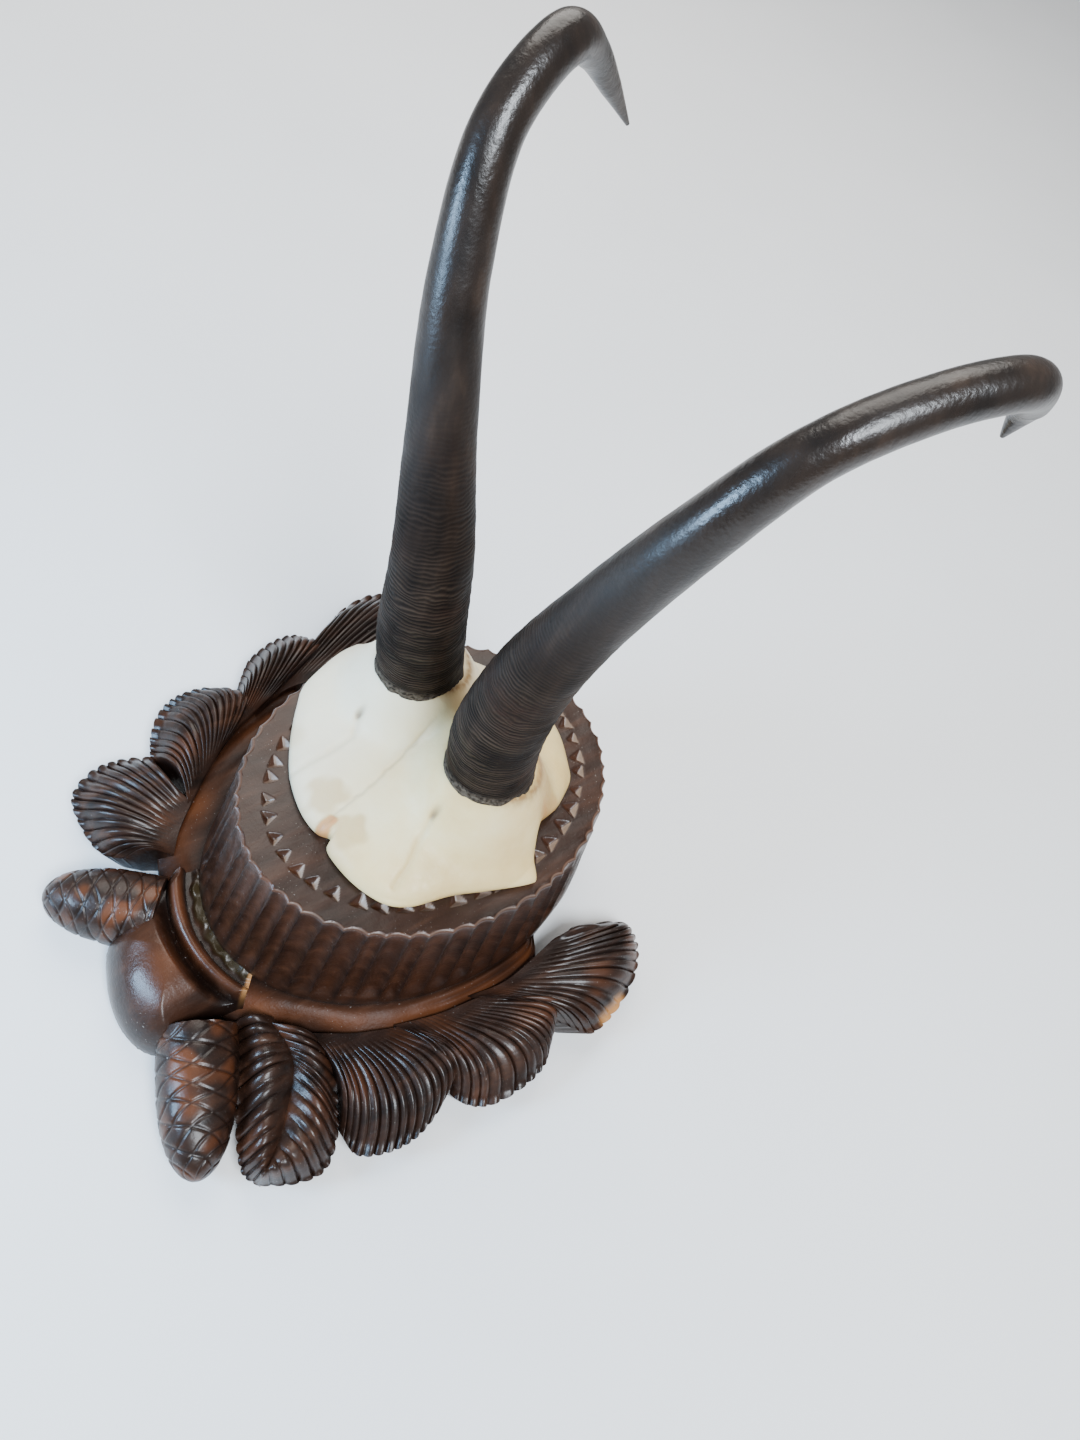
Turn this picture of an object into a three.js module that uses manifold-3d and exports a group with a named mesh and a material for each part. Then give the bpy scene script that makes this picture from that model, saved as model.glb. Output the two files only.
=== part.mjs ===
// Chamois horn plaque: a fluted oval wooden drum with a carved wreath round its lower half, carrying the
// cut top of a skull with its two hooked horns. Millimetres. The plaque lies on its flat back: the origin
// is the middle of the drum's back, +X is the plaque's right, +Y its top and +Z points out of the back.
import * as THREE from 'three';
import { mergeVertices } from 'three/addons/utils/BufferGeometryUtils.js';
import Module from 'manifold-3d';

const wasm = await Module();
wasm.setup();

// Clearance between pieces that touch, growth of a seat cut for a neighbour, and welding distance
const GAP = 0.3;
const SEAT_GROWTH = 4 * GAP;
const WELD = 1e-4;

// The space above the table that pieces are cut to
const ROOM_WIDTH = 400;
const ROOM_HEIGHT = 200;

// Drum: oval face, flared foot, gouged flutes round the wall, chip-carved ring on the face
const FACE_X = 50;
const FACE_Y = 62.4;
const FOOT_X = 53.5;
const FOOT_Y = 72;
const FOOT_HEIGHT = 15;
const DRUM_HEIGHT = 60.5;
const FLUTES = 56;
const FLUTE_DEPTH = 1.1;
const CHIPS = 42;
const CHIP_INSET = 9.7;
const CHIP_RADIUS = 2.8;
const CHIP_DEPTH = 1.8;

// Skull plate: outline in plan, rim thickness, crown and the two pedicles that carry the horns
const SKULL_MIDDLE = [-5, 3];
const SKULL_OUTLINE = [
  [-52.5, 2], [-50, -11], [-45, -21.5], [-33, -31.5], [-18.5, -40], [-6, -42.5], [3, -41.5], [6.5, -39],
  [9, -42], [23.5, -39], [33, -32], [36, -23], [38, -14], [46.5, 8.5], [33, 15], [29, 25], [24.5, 36],
  [14.5, 43.5], [2, 47], [-13, 45.5], [-29, 36], [-43, 20],
];
const SKULL_RIM = 3.5;
const SKULL_CROWN = 11;
const SKULL_CROWN_SHAPE = 0.8;
const SKULL_SPOKES = 48;
const SKULL_LOOPS = [0.25, 0.45, 0.65, 0.82, 0.94, 1];
const PEDICLE_RADIUS = 11.2;
const PEDICLE_TAPER = 1;
const PEDICLE_SWELL = 4;
const PEDICLE_SPREAD = 15;

// Horns: centre lines from base to tip, and the radius at the same points
const HORN_BASE = 79;
const LEFT_HORN_PATH = [
  [-25, 6.5, HORN_BASE], [-22.5, -2, 113], [-23, -6, 147], [-30, -7.5, 181], [-41, -4.5, 215],
  [-50.5, 4.5, 239.5], [-56.8, 21.3, 251], [-59.2, 30.5, 247], [-60.2, 39.9, 238.8], [-60, 48.6, 230.2],
];
const RIGHT_HORN_PATH = [
  [14.5, 7, HORN_BASE], [15.5, -0.5, 113], [19.5, -3, 147], [27, -3.5, 181], [35, 1.5, 214],
  [40.5, 13, 237], [45.5, 32, 248], [49.5, 48.2, 251.2], [48.5, 60.2, 243.7], [48, 63.5, 233],
];
const LEFT_HORN_RADII = [13.3, 12.6, 10.6, 8.2, 6.5, 5.5, 5, 3.7, 2.4, 0.5];
const RIGHT_HORN_RADII = [13.3, 12.6, 10.5, 8.1, 6.5, 5.3, 5, 4.9, 4.1, 0.5];
const HORN_STEPS = 32;
const HORN_SIDES = 12;
const HORN_RING_RELIEF = 0.03;
const HORN_RINGED_SHARE = 0.6;

// Scroll: the bulging carved curl under the drum, with a rolled rim beside the wall
const SCROLL_MIDDLE = [2, -88];
const SCROLL_OUTLINE = [
  [-22, -68], [-24, -77], [-17, -86], [-13, -100], [-3, -104.5], [11.5, -107], [22, -104], [27, -98],
  [24.5, -85], [26, -74.5], [14.5, -64], [0, -66],
];
const SCROLL_EDGE = 8;
const SCROLL_BULGE = 15;
const SCROLL_BULGE_SHAPE = 0.7;
const SCROLL_SPOKES = 28;
const SCROLL_LOOPS = [0.3, 0.6, 0.85, 1];
const SCROLL_RIM_PATH = [[-18, -73, 15], [-9, -78, 19], [0.5, -80.5, 20], [9.5, -79, 19], [18, -74, 15]];
const SCROLL_RIM_RADIUS = 4.2;
const SCROLL_RIM_STEPS = 10;
const SCROLL_RIM_SEGMENTS = 5;

// Pine cones: axis from root to tip, girth and diamond scales
const LEFT_CONE_AXIS = [[-17, -86], [-37, -110]];
const RIGHT_CONE_AXIS = [[25, -88], [63.5, -106.5]];
const CONE_RADIUS = 11.5;
const CONE_LIFT = 9.5;
const CONE_START = 0.12;
const CONE_SPAN = 0.84;
const CONE_SHAPE = 0.6;
const CONE_ROWS = 10;
const CONE_SCALES = 8;
const CONE_RELIEF = 0.07;

// Leaves: where they leave the stem, their outer edge, and how far the ribs bow sideways
const STEM_RIDGE = 16;
const STEM_FLANK = 9;
const STEM_DROP = 2;
const STEM_TUCK = 2;
const STEM_CREST_START = 0.25;
const LEAF_ROOT = 12;
const LEAF_CREST = 17;
const LEAF_CREST_END = 0.9;
const LEAF_EDGE = 10.5;
const LEAF_UNDERCUT = 0.82;
const LEAF_RIBS = 9;
const LEAF_ROWS = 3;
const RIB_HEIGHT = 0.8;
const RIB_REACH = 0.9;
const RIB_FADE_IN = 3;
const STEM_STEPS = 10;
const STEM_ROWS = 3;
const RIGHT_STEM_OUTER = [
  [29, -79], [38, -64], [53, -45], [58, -29], [61, -14], [61.5, 2], [59, 18], [54, 32],
];
const RIGHT_LEAVES = [
  { root: [[33, -71], [41, -69.5], [47.5, -70], [56, -75.5], [65, -84], [71, -91]], bow: [1, 1],
    edge: [[46, -56], [56, -57], [66.5, -62.5], [74, -66.5], [80.5, -74.5], [79, -83.5], [74, -92.5]] },
  { root: [[73, -90], [67, -81.5], [57.5, -73], [49, -66.5], [41.5, -66], [33, -67.5]], bow: [-1, -1],
    edge: [[74, -92.5], [69, -93.5], [63, -90.5], [56, -86], [46.5, -80.5], [36.5, -77.5], [29, -76]] },
  { root: [[43, -60], [50, -48], [56, -33]], bow: [3, 6],
    edge: [[73.5, -65.5], [81.5, -64.5], [86.5, -54], [86.5, -44], [81.5, -33], [75, -29.5]] },
  { root: [[54, -36], [58, -22], [60, -8]], bow: [3, 6],
    edge: [[75.5, -32], [85, -29], [90.5, -22.5], [92, -9], [90, 1.5], [85, 7], [75.5, 13.5]] },
  { root: [[58, -10], [60, 4], [56, 28]], bow: [4, 5],
    edge: [[76, 10.5], [84, 16.5], [89.5, 21.5], [88, 34], [80.5, 49.5], [72, 56.5], [64, 57], [55, 39]] },
];
const LEFT_STEM_OUTER = [
  [-24, -78], [-33, -75], [-43, -66], [-60, -47], [-67, -35], [-72, -21], [-75, -6], [-74, 12],
];
const LEFT_LEAVES = [
  { root: [[-30, -71], [-37, -66], [-45, -58]], bow: [-1, -2],
    edge: [[-36, -83], [-42, -90], [-55, -92], [-65.5, -90], [-71.5, -81], [-72, -72], [-68, -61]] },
  { root: [[-43, -60], [-52, -50], [-60, -40]], bow: [-3, 5],
    edge: [[-69, -62], [-76.5, -58.5], [-85, -51], [-88, -42], [-86.5, -32], [-77, -26]] },
  { root: [[-58, -43], [-65, -32], [-70, -20]], bow: [-3, 6],
    edge: [[-77.5, -27], [-85.5, -20.5], [-92.5, -13], [-96.5, -1], [-95.5, 8], [-86.5, 14.5]] },
  { root: [[-68, -23], [-73, -8], [-71, 12]], bow: [-3, 5],
    edge: [[-86, 14.5], [-92.5, 19.5], [-99, 28], [-102, 43], [-98, 54], [-90, 58], [-78, 50], [-70, 30]] },
];

// Solids from rings and grids

function closedGeometry(points, triangles) {
  const geometry = new THREE.BufferGeometry();
  const places = points.flatMap((p) => [p.x, p.y, p.z]);
  geometry.setAttribute('position', new THREE.Float32BufferAttribute(places, 3));
  geometry.setIndex(triangles);
  return geometry;
}

function asSolid(geometry) {
  const bare = geometry.clone();
  bare.deleteAttribute('normal');
  bare.deleteAttribute('uv');
  const merged = mergeVertices(bare, WELD);
  const vertProperties = new Float32Array(merged.attributes.position.array);
  const triVerts = new Uint32Array(merged.index.array);
  return new wasm.Manifold(new wasm.Mesh({ numProp: 3, vertProperties, triVerts }));
}

function asGeometry(solid) {
  const mesh = solid.getMesh();
  const geometry = new THREE.BufferGeometry();
  geometry.setAttribute('position', new THREE.BufferAttribute(new Float32Array(mesh.vertProperties), 3));
  geometry.setIndex(new THREE.BufferAttribute(new Uint32Array(mesh.triVerts), 1));
  return geometry;
}

// A closed skin over rings of equal length, each counter-clockwise about the direction they advance in
function ringSolid(rings) {
  const count = rings[0].length;
  const points = rings.flat();
  const triangles = [];
  for (let i = 0; i + 1 < rings.length; i += 1) {
    for (let j = 0; j < count; j += 1) {
      const next = (j + 1) % count;
      const near = i * count;
      const far = near + count;
      triangles.push(near + j, near + next, far + next, near + j, far + next, far + j);
    }
  }
  const caps = [[0, true], [(rings.length - 1) * count, false]];
  for (const [first, backward] of caps) {
    const middle = new THREE.Vector3();
    points.slice(first, first + count).forEach((p) => middle.addScaledVector(p, 1 / count));
    points.push(middle);
    for (let j = 0; j < count; j += 1) {
      const edge = [first + j, first + (j + 1) % count];
      triangles.push(points.length - 1, ...(backward ? edge.reverse() : edge));
    }
  }
  return closedGeometry(points, triangles);
}

// A closed block under a patch top(s, t), standing on a flat strip from foot(s, 0) to foot(s, 1)
function patchSolid(top, foot, stepsS, stepsT) {
  const along = top(0.6, 0.5).sub(top(0.4, 0.5));
  const outward = top(0.5, 0.6).sub(top(0.5, 0.4));
  const flipped = along.cross(outward).z < 0;
  const points = [];
  for (let i = 0; i <= stepsS; i += 1) {
    for (let j = 0; j <= stepsT; j += 1) {
      points.push(top(i / stepsS, j / stepsT));
    }
    points.push(foot(i / stepsS, 0), foot(i / stepsS, 1));
  }
  const rowLength = stepsT + 3;
  const triangles = [];
  const triangle = (a, b, c) => triangles.push(a, ...(flipped ? [c, b] : [b, c]));
  const quad = (a, b, c, d) => {
    triangle(a, b, c);
    triangle(a, c, d);
  };
  const inner = stepsT + 1;
  const outer = stepsT + 2;
  for (let i = 0; i < stepsS; i += 1) {
    const here = i * rowLength;
    const there = here + rowLength;
    for (let j = 0; j < stepsT; j += 1) {
      quad(here + j, there + j, there + j + 1, here + j + 1);
    }
    quad(here + inner, there + inner, there, here);
    quad(here + stepsT, there + stepsT, there + outer, here + outer);
    quad(here + outer, there + outer, there + inner, here + inner);
  }
  const last = stepsS * rowLength;
  for (let j = 0; j <= stepsT; j += 1) {
    const next = j === stepsT ? outer : j + 1;
    triangle(inner, j, next);
    triangle(last + inner, last + next, last + j);
  }
  return closedGeometry(points, triangles);
}

function planCurve(outline, closed = false) {
  const points = outline.map(([x, y]) => new THREE.Vector3(x, y, 0));
  return new THREE.CatmullRomCurve3(points, closed, 'centripetal');
}

function spaceCurve(path) {
  return new THREE.CatmullRomCurve3(path.map((p) => new THREE.Vector3(...p)), false, 'centripetal');
}

function interpolate(values, share) {
  const place = Math.min(share, 1) * (values.length - 1);
  const index = Math.min(Math.floor(place), values.length - 2);
  return THREE.MathUtils.lerp(values[index], values[index + 1], place - index);
}

// Where a ray from the middle at this angle meets a closed outline
function outlineRadius(outline, middle, angle) {
  const direction = new THREE.Vector2(Math.cos(angle), Math.sin(angle));
  let reach = 0;
  outline.forEach((point, index) => {
    const from = new THREE.Vector2(...point).sub(new THREE.Vector2(...middle));
    const to = new THREE.Vector2(...outline[(index + 1) % outline.length]).sub(new THREE.Vector2(...middle));
    const along = to.clone().sub(from);
    const across = direction.cross(along);
    const share = from.cross(direction) / across;
    const distance = from.cross(along) / across;
    if (share >= 0 && share <= 1 && distance > reach) {
      reach = distance;
    }
  });
  return reach;
}

// A low mound over a closed outline: height(x, y, share of the way out) above a flat underside
function moundSolid(outline, middle, spokes, loops, underside, height) {
  const ringAt = (share, level) => Array.from({ length: spokes }, (_, j) => {
    const angle = (j / spokes) * 2 * Math.PI;
    const reach = outlineRadius(outline, middle, angle) * share;
    const x = middle[0] + reach * Math.cos(angle);
    const y = middle[1] + reach * Math.sin(angle);
    return new THREE.Vector3(x, y, level ?? underside + height(x, y, share));
  });
  return ringSolid([ringAt(1, underside), ...loops.toReversed().map((share) => ringAt(share))]);
}

// Pieces

function ovalRing(semiX, semiY, z, count, wave) {
  return Array.from({ length: count }, (_, j) => {
    const angle = (j / count) * 2 * Math.PI;
    const depth = wave * (j % 2);
    return new THREE.Vector3((semiX - depth) * Math.cos(angle), (semiY - depth) * Math.sin(angle), z);
  });
}

function drumBody(extra, fluteDepth) {
  const count = FLUTES * 2;
  return asSolid(ringSolid([
    ovalRing(FOOT_X + extra, FOOT_Y + extra, 0, count, 0),
    ovalRing(FOOT_X + extra, FOOT_Y + extra, FOOT_HEIGHT, count, fluteDepth),
    ovalRing(FACE_X + extra, FACE_Y + extra, DRUM_HEIGHT, count, fluteDepth),
  ]));
}

function chipNotch(index) {
  const angle = (index / CHIPS) * 2 * Math.PI;
  const notch = new THREE.ConeGeometry(CHIP_RADIUS, CHIP_DEPTH + GAP, 3);
  notch.rotateX(-Math.PI / 2);
  notch.rotateZ(angle);
  const middle = DRUM_HEIGHT - (CHIP_DEPTH - GAP) / 2;
  notch.translate((FACE_X - CHIP_INSET) * Math.cos(angle), (FACE_Y - CHIP_INSET) * Math.sin(angle), middle);
  return asSolid(notch);
}

function flutedDrum() {
  let drum = drumBody(0, FLUTE_DEPTH);
  for (let index = 0; index < CHIPS; index += 1) {
    drum = drum.subtract(chipNotch(index));
  }
  return drum;
}

function skullHeight(x, y, share) {
  const crown = SKULL_RIM + SKULL_CROWN * (1 - share * share) ** SKULL_CROWN_SHAPE;
  const swell = [LEFT_HORN_PATH[0], RIGHT_HORN_PATH[0]].map(([hornX, hornY]) => {
    const distance = Math.hypot(x - hornX, y - hornY) / PEDICLE_SPREAD;
    return PEDICLE_SWELL * Math.exp(-distance * distance);
  });
  return crown + Math.max(...swell);
}

function pedicle([x, y]) {
  const underside = DRUM_HEIGHT + GAP;
  const height = HORN_BASE - GAP - underside;
  const post = new THREE.CylinderGeometry(PEDICLE_RADIUS, PEDICLE_RADIUS + PEDICLE_TAPER, height, HORN_SIDES);
  post.rotateX(Math.PI / 2);
  post.translate(x, y, underside + height / 2);
  return asSolid(post);
}

function skullPlate() {
  const plate = asSolid(moundSolid(
    SKULL_OUTLINE, SKULL_MIDDLE, SKULL_SPOKES, SKULL_LOOPS, DRUM_HEIGHT + GAP,
    (x, y, share) => Math.min(skullHeight(x, y, share), HORN_BASE - 2 * GAP - DRUM_HEIGHT),
  ));
  return plate.add(pedicle(LEFT_HORN_PATH[0])).add(pedicle(RIGHT_HORN_PATH[0]));
}

// Rings square to the centre line, except the base, which sits level on its pedicle
function horn(path, radii) {
  const curve = spaceCurve(path);
  const rings = [];
  const sideways = new THREE.Vector3(1, 0, 0);
  for (let i = 0; i <= HORN_STEPS; i += 1) {
    const share = i / HORN_STEPS;
    const centre = curve.getPoint(share);
    const ahead = i === 0 ? new THREE.Vector3(0, 0, 1) : curve.getTangent(share);
    const across = sideways.clone().addScaledVector(ahead, -sideways.dot(ahead)).normalize();
    const upright = ahead.clone().cross(across);
    const ridge = share < HORN_RINGED_SHARE ? HORN_RING_RELIEF * (i % 2) : 0;
    const radius = interpolate(radii, share) * (1 - ridge);
    rings.push(Array.from({ length: HORN_SIDES }, (_, j) => {
      const angle = (j / HORN_SIDES) * 2 * Math.PI;
      return centre.clone()
        .addScaledVector(across, radius * Math.cos(angle))
        .addScaledVector(upright, radius * Math.sin(angle));
    }));
  }
  return asSolid(ringSolid(rings));
}

function aboveTable(solid) {
  const room = new THREE.BoxGeometry(ROOM_WIDTH, ROOM_WIDTH, ROOM_HEIGHT);
  room.translate(0, 0, ROOM_HEIGHT / 2);
  return solid.intersect(asSolid(room));
}

// The same solid a little larger about its own middle, to cut a clear seat for it in a neighbour
function withClearance(solid) {
  const { min, max } = solid.boundingBox();
  const middle = min.map((low, axis) => (low + max[axis]) / 2);
  const factors = min.map((low, axis) => 1 + SEAT_GROWTH / (max[axis] - low));
  return solid.translate(middle.map((value) => -value)).scale(factors).translate(middle);
}

function scroll() {
  const bulge = asSolid(moundSolid(
    SCROLL_OUTLINE, SCROLL_MIDDLE, SCROLL_SPOKES, SCROLL_LOOPS, 0,
    (x, y, share) => SCROLL_EDGE + SCROLL_BULGE * (1 - share * share) ** SCROLL_BULGE_SHAPE,
  ));
  const section = new THREE.Shape().absarc(0, 0, SCROLL_RIM_RADIUS, 0, 2 * Math.PI);
  const rim = new THREE.ExtrudeGeometry(section, {
    extrudePath: spaceCurve(SCROLL_RIM_PATH),
    steps: SCROLL_RIM_STEPS,
    curveSegments: SCROLL_RIM_SEGMENTS,
  });
  return bulge.add(asSolid(rim)).subtract(drumBody(GAP, 0));
}

function cone([root, tip]) {
  const from = new THREE.Vector3(...root, CONE_LIFT);
  const to = new THREE.Vector3(...tip, CONE_LIFT);
  const ahead = to.clone().sub(from).normalize();
  const across = new THREE.Vector3(-ahead.y, ahead.x, 0);
  const upright = new THREE.Vector3(0, 0, 1);
  const rings = [];
  for (let i = 0; i <= CONE_ROWS; i += 1) {
    const share = i / CONE_ROWS;
    const girth = CONE_RADIUS * Math.sin(Math.PI * (CONE_START + CONE_SPAN * share)) ** CONE_SHAPE;
    rings.push(Array.from({ length: CONE_SCALES * 2 }, (_, j) => {
      const angle = (j / (CONE_SCALES * 2)) * 2 * Math.PI;
      const radius = girth * (1 - CONE_RELIEF * ((i + j) % 2));
      return from.clone().lerp(to, share)
        .addScaledVector(across, radius * Math.cos(angle))
        .addScaledVector(upright, radius * Math.sin(angle));
    }));
  }
  return aboveTable(asSolid(ringSolid(rings)));
}

function leaf({ root, edge, bow }) {
  const rootCurve = planCurve(root);
  const edgeCurve = planCurve(edge);
  const plan = (s, t, reach) => {
    const from = rootCurve.getPoint(s);
    const to = edgeCurve.getPoint(s);
    const outward = to.clone().sub(from);
    to.addScaledVector(outward.clone().normalize(), reach);
    const bend = new THREE.Vector3(...bow, 0).multiplyScalar(4 * t * (1 - t));
    return from.lerp(to, t).add(bend);
  };
  const top = (s, t) => {
    const ridge = 0.5 + 0.5 * Math.cos(2 * Math.PI * LEAF_RIBS * s);
    const point = plan(s, t, RIB_REACH * (ridge - 1));
    const rise = Math.sin(Math.PI * Math.min(t / LEAF_CREST_END, 1)) * (LEAF_CREST - LEAF_ROOT);
    const rib = RIB_HEIGHT * (2 * ridge - 1) * Math.min(RIB_FADE_IN * t, 1);
    point.z = THREE.MathUtils.lerp(LEAF_ROOT, LEAF_EDGE, t) + rise + rib;
    return point;
  };
  const foot = (s, t) => plan(s, t * LEAF_UNDERCUT, -RIB_REACH);
  return asSolid(patchSolid(top, foot, LEAF_RIBS * 2, LEAF_ROWS));
}

// The stem fills the way from under the drum's foot to its own outer edge
function stem(outer) {
  const outerCurve = planCurve(outer);
  const plan = (s, t) => {
    const out = outerCurve.getPoint(s);
    const angle = Math.atan2(out.y / FOOT_Y, out.x / FOOT_X);
    const within = new THREE.Vector3(
      (FOOT_X - STEM_TUCK) * Math.cos(angle),
      (FOOT_Y - STEM_TUCK) * Math.sin(angle),
      0,
    );
    return within.lerp(out, t);
  };
  const top = (s, t) => {
    const point = plan(s, t);
    const swell = Math.sin(Math.PI * (STEM_CREST_START + (1 - STEM_CREST_START) * t));
    point.z = THREE.MathUtils.lerp(STEM_FLANK, STEM_RIDGE - STEM_DROP * s, swell);
    return point;
  };
  return asSolid(patchSolid(top, plan, STEM_STEPS, STEM_ROWS));
}

function leafSpray(stemOuter, leaves, neighbours) {
  let spray = stem(stemOuter);
  leaves.forEach((shape) => {
    spray = spray.add(leaf(shape));
  });
  neighbours.forEach((neighbour) => {
    spray = spray.subtract(withClearance(neighbour));
  });
  return spray.subtract(drumBody(GAP, 0));
}

// Assembly

const scrollSolid = scroll();
const leftCone = cone(LEFT_CONE_AXIS).subtract(withClearance(scrollSolid));
const rightCone = cone(RIGHT_CONE_AXIS).subtract(withClearance(scrollSolid));

const walnut = { color: 0x46281c, roughness: 0.45, metalness: 0 };
const bone = { color: 0xe9dfc3, roughness: 0.7, metalness: 0 };
const keratin = { color: 0x1d1a19, roughness: 0.35, metalness: 0 };

const pieces = [
  ['fluted_drum', flutedDrum(), walnut],
  ['scroll', scrollSolid, walnut],
  ['left_cone', leftCone, walnut],
  ['right_cone', rightCone, walnut],
  ['left_leaf_spray', leafSpray(LEFT_STEM_OUTER, LEFT_LEAVES, [scrollSolid, leftCone]), walnut],
  ['right_leaf_spray', leafSpray(RIGHT_STEM_OUTER, RIGHT_LEAVES, [scrollSolid, rightCone]), walnut],
  ['skull_plate', skullPlate(), bone],
  ['left_horn', horn(LEFT_HORN_PATH, LEFT_HORN_RADII), keratin],
  ['right_horn', horn(RIGHT_HORN_PATH, RIGHT_HORN_RADII), keratin],
];

const plaque = new THREE.Group();
pieces.forEach(([name, solid, finish]) => {
  const mesh = new THREE.Mesh(asGeometry(solid), new THREE.MeshStandardMaterial(finish));
  mesh.name = name;
  plaque.add(mesh);
});

export default plaque;
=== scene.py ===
"""Looks of the chamois horn plaque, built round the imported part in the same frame

Sizes are in millimetres and become metres where a mesh is made. The origin is the middle of the drum's flat
back, x runs to the plaque's right, y to its top and z out of the wall.
"""

import math

import bpy
import numpy as np
from mathutils import Matrix, Vector, noise


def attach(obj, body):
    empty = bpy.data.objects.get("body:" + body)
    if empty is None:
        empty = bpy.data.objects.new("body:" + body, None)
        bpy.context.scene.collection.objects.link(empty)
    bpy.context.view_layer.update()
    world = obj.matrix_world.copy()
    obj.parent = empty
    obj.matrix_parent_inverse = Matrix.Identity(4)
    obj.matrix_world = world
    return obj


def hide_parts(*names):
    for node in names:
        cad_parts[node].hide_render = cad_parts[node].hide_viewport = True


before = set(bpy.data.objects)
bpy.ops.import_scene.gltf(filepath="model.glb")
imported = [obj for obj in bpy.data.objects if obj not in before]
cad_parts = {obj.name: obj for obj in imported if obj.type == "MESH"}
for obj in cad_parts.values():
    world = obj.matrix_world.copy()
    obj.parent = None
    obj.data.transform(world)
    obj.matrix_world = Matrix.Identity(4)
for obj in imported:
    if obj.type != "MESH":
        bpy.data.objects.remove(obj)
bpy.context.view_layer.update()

MILLIMETRE = 0.001

# Drum
FACE_X = 50.0
FACE_Y = 62.4
FOOT_X = 53.5
FOOT_Y = 72.0
FOOT_HEIGHT = 15.0
DRUM_HEIGHT = 60.5
DRUM_EDGE_ROUND = 1.0
FLUTES = 56
FLUTE_DEPTH = 2.0
FLUTE_FADE = 0.45
FLUTE_COLUMNS = 14
FLUTE_JITTER = 0.17
FLUTE_DEPTH_RANGE = (0.65, 1.2)
FLUTE_FOOT_RANGE = (0.0, 0.1)
FLUTE_RUN_OUT = 0.12
WALL_ROWS = 26
WALL_ROUGHNESS = 0.18
CHIPS = 42
CHIP_INSET = 9.7
CHIP_SIZE = 1.8
CHIP_DEPTH = 2.2
CHIP_SHARPNESS = 2.5
CHIP_SIZE_RANGE = (0.85, 1.15)
CHIP_PLACE_JITTER = 0.1
CHIP_TURN_JITTER = 0.12
CHIP_LIT_BEARING = math.radians(55)
THIRD_TURN = 2 * math.pi / 3
# Rings of the face from the edge inwards, as first inset, last inset and how many
FACE_BANDS = [(1.2, 5.5, 10), (5.8, 13.6, 34), (15, 45, 12)]
FACE_PLAIN_FROM = 5.0
FACE_ROUGHNESS = 0.12

# Skull plate
SKULL_MIDDLE = (-5.0, 3.0)
SKULL_OUTLINE = [
    (-52.5, 2), (-52, -4), (-49.5, -11.5), (-45, -21.5), (-39, -27), (-32.5, -32), (-25.5, -36.5),
    (-18.5, -40), (-11.5, -42), (-4, -42.8), (2, -41.8), (5.5, -39.2), (7.5, -41.6), (14.5, -41.5),
    (23.5, -39), (31, -34.5), (34.5, -29), (36, -23), (37.5, -16), (41.5, -5), (45.5, 7.5), (45.5, 9.5),
    (38.5, 13), (32.5, 16.5), (29.8, 22.5), (28.5, 28.5), (25.5, 34.5), (21, 40.5), (14.5, 43.5),
    (3.5, 47), (-13, 45.5), (-29, 36), (-43, 20),
]
SKULL_RIM = 3.6
SKULL_CROWN = 10.5
SKULL_EDGE_ROUND = 4.5
SKULL_GAP = 0.3
SKULL_SPOKES = 420
SKULL_LOOPS = 110
SKULL_RIM_LOOPS = 14
SKULL_SMOOTHING = 61
PEDICLE_RADIUS = 13.0
PEDICLE_SWELL = 5.0
PEDICLE_SPREAD = 17.0
PEDICLE_COLLAR = 9.5
PEDICLE_TILT = 5.0
PEDICLE_FOOT = 15.0
PEDICLE_STEEPNESS = 1.6
STAIN_DISTANCE = 13.8
STAIN_HALF = 1.5
# Direction in plan of the side that shows in the photograph
FRONT = (0.6, -0.8)
BROW_MIDDLE = (-6.0, 6.0)
BROW_RISE = 5.5
BROW_SPREAD = 13.0
# Tan patches of the bone, as x, y, size and strength
TAN_PATCHES = [
    (-6.0, -35.0, 6.5, 0.8), (7.4, -34.6, 5.5, 0.8), (2.0, -40.0, 3.0, 1.6), (26.0, 22.0, 9.0, 0.7),
]
SUTURE = [(2.5, -44), (0.5, -33), (-1.5, -22), (-5, -10), (-7, 2)]
SUTURE_DEPTH = 0.4
SUTURE_HALF = 0.6
# Holes of the bone with the shallow grooves that run from them
FORAMINA = [
    [(-23, -15.5), (-18.5, -19.5), (-17.5, -29), (-18, -40.5)],
    [(17, -13.5), (20.5, -19.5), (25, -25), (28, -31)],
]
FORAMEN_DEPTH = 1.8
FORAMEN_HALF = 1.2
GROOVE_DEPTH = 0.8
GROOVE_HALF = 1.1

# Horns
HORN_BASE = 79.0
LEFT_HORN_PATH = [
    (-25, 6.5, HORN_BASE), (-22.5, -2, 113), (-23, -6, 147), (-30, -7.5, 181), (-41, -4.5, 215),
    (-50.5, 4.5, 239.5), (-56.8, 21.3, 251), (-59.2, 30.5, 247), (-60.2, 39.9, 238.8),
    (-60, 48.6, 230.2),
]
RIGHT_HORN_PATH = [
    (14.5, 7, HORN_BASE), (15.5, -0.5, 113), (19.5, -3, 147), (27, -3.5, 181), (35, 1.5, 214),
    (40.5, 13, 237), (45.5, 32, 248), (49.5, 48.2, 251.2), (48.5, 60.2, 243.7), (48, 63.5, 233),
]
LEFT_HORN_RADII = [13.3, 12.6, 10.6, 8.2, 6.5, 5.5, 5, 3.7, 2.4, 0.5]
RIGHT_HORN_RADII = [13.3, 12.6, 10.5, 8.1, 6.5, 5.3, 5, 4.9, 4.1, 0.5]
HORN_ROWS = 840
RINGED_ROWS = 620
HORN_SIDES = 72
WRINKLE_PITCH = 1.35
WRINKLE_DEPTH = 0.32
GROWTH_PITCH = 7.3
GROWTH_DEPTH = 0.16
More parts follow.
